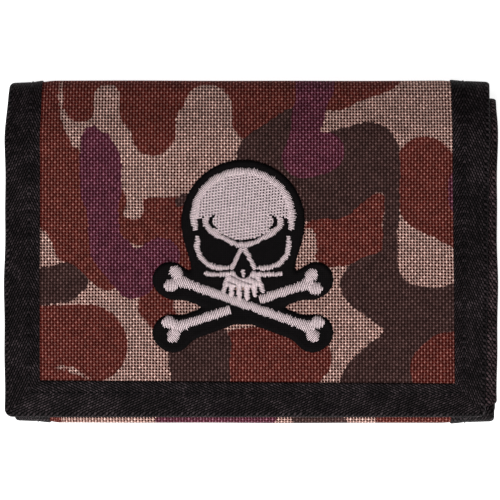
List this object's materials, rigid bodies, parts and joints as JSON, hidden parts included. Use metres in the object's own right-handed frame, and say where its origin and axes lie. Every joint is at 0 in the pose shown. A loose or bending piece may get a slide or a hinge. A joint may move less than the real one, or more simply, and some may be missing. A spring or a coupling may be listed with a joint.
{
  "type": "trifold wallet",
  "caption": "Closed fabric trifold wallet in woven camouflage cloth with black tape binding, hook-and-loop flap and an embroidered skull-and-crossbones patch.",
  "frame": {"origin": "centre of the closed wallet's footprint, on the surface that its back lies on", "axes": "+X along the folds towards the banknote opening, +Y from the bottom fold to the top fold, +Z out of the front flap"},
  "size_m": [0.13, 0.091, 0.0182],
  "materials": {
    "camo_fabric": "coarse plain-woven polyester, printed in a four-colour camouflage",
    "lining_fabric": "thin black plain-woven nylon",
    "binding_tape": "black twill binding tape, folded over the edge",
    "patch_cloth": "black twill under the embroidery",
    "patch_thread": "off-white embroidery thread, slight sheen",
    "window_film": "clear soft vinyl",
    "hook_tape": "black nylon hooks",
    "loop_tape": "black brushed loop pile",
    "zip_coil": "black nylon coil",
    "zip_metal": "black enamelled zinc"
  },
  "bodies": {
    "back": {"back_shell": "camo_fabric", "back_lining": "lining_fabric", "back_tape_left": "binding_tape", "back_tape_right": "binding_tape", "back_lining_tape": "binding_tape", "coin_pocket_front": "lining_fabric", "coin_pocket_facing": "lining_fabric", "card_slot_1": "lining_fabric", "card_slot_2": "lining_fabric", "card_slot_3": "lining_fabric", "zip_tape_lower": "binding_tape", "zip_tape_upper": "binding_tape", "zip_coil_lower": "zip_coil", "zip_coil_upper": "zip_coil", "zip_stops": "zip_metal"},
    "top_fold": {"top_fold_shell": "camo_fabric", "top_fold_lining": "lining_fabric", "top_fold_tape_left": "binding_tape", "top_fold_tape_right": "binding_tape", "top_fold_lining_tape": "binding_tape"},
    "front_flap": {"front_shell": "camo_fabric", "front_lining": "lining_fabric", "front_binding": "binding_tape", "front_lining_tape": "binding_tape", "flap_hook_strip": "hook_tape", "patch_backing": "patch_cloth", "patch_skull": "patch_thread", "patch_bones": "patch_thread"},
    "bottom_fold": {"bottom_fold_shell": "camo_fabric", "bottom_fold_lining": "lining_fabric", "bottom_fold_tape_left": "binding_tape", "bottom_fold_tape_right": "binding_tape", "bottom_fold_lining_tape": "binding_tape"},
    "inner_flap": {"inner_shell": "camo_fabric", "inner_lining": "lining_fabric", "inner_binding": "binding_tape", "inner_lining_tape": "binding_tape", "inner_loop_strip": "loop_tape", "id_window": "window_film", "id_window_frame": "lining_fabric"},
    "zip_slider": {"zip_slider": "zip_metal"},
    "zip_pull": {"zip_pull": "zip_metal"}
  },
  "joints": [
    {"name": "front_flap_open", "type": "hinge", "parent": "back", "child": "top_fold", "pos_m": [0, 0.0447, 0.0008], "axis": [-1, 0, 0], "range_deg": [0, 88]},
    {"name": "top_fold_flatten", "type": "hinge", "parent": "top_fold", "child": "front_flap", "pos_m": [0, 0.0447, 0.0165], "axis": [-1, 0, 0], "range_deg": [0, 88]},
    {"name": "inner_flap_open", "type": "hinge", "parent": "back", "child": "bottom_fold", "pos_m": [0, -0.0447, 0.0008], "axis": [1, 0, 0], "range_deg": [0, 88]},
    {"name": "bottom_fold_flatten", "type": "hinge", "parent": "bottom_fold", "child": "inner_flap", "pos_m": [0, -0.0447, 0.0096], "axis": [1, 0, 0], "range_deg": [0, 84.1]},
    {"name": "zip_slide", "type": "slide", "parent": "back", "child": "zip_slider", "axis": [1, 0, 0], "range_m": [0, 0.088]},
    {"name": "zip_pull_lift", "type": "hinge", "parent": "zip_slider", "child": "zip_pull", "pos_m": [-0.044, 0.022, 0.00838], "axis": [0, -1, 0], "range_deg": [0, 20]}
  ],
  "couplings": [
    {"joint": "top_fold_flatten", "follows": "front_flap_open", "ratio": 1},
    {"joint": "inner_flap_open", "follows": "front_flap_open", "ratio": 1},
    {"joint": "bottom_fold_flatten", "follows": "front_flap_open", "ratio": 0.955}
  ]
}
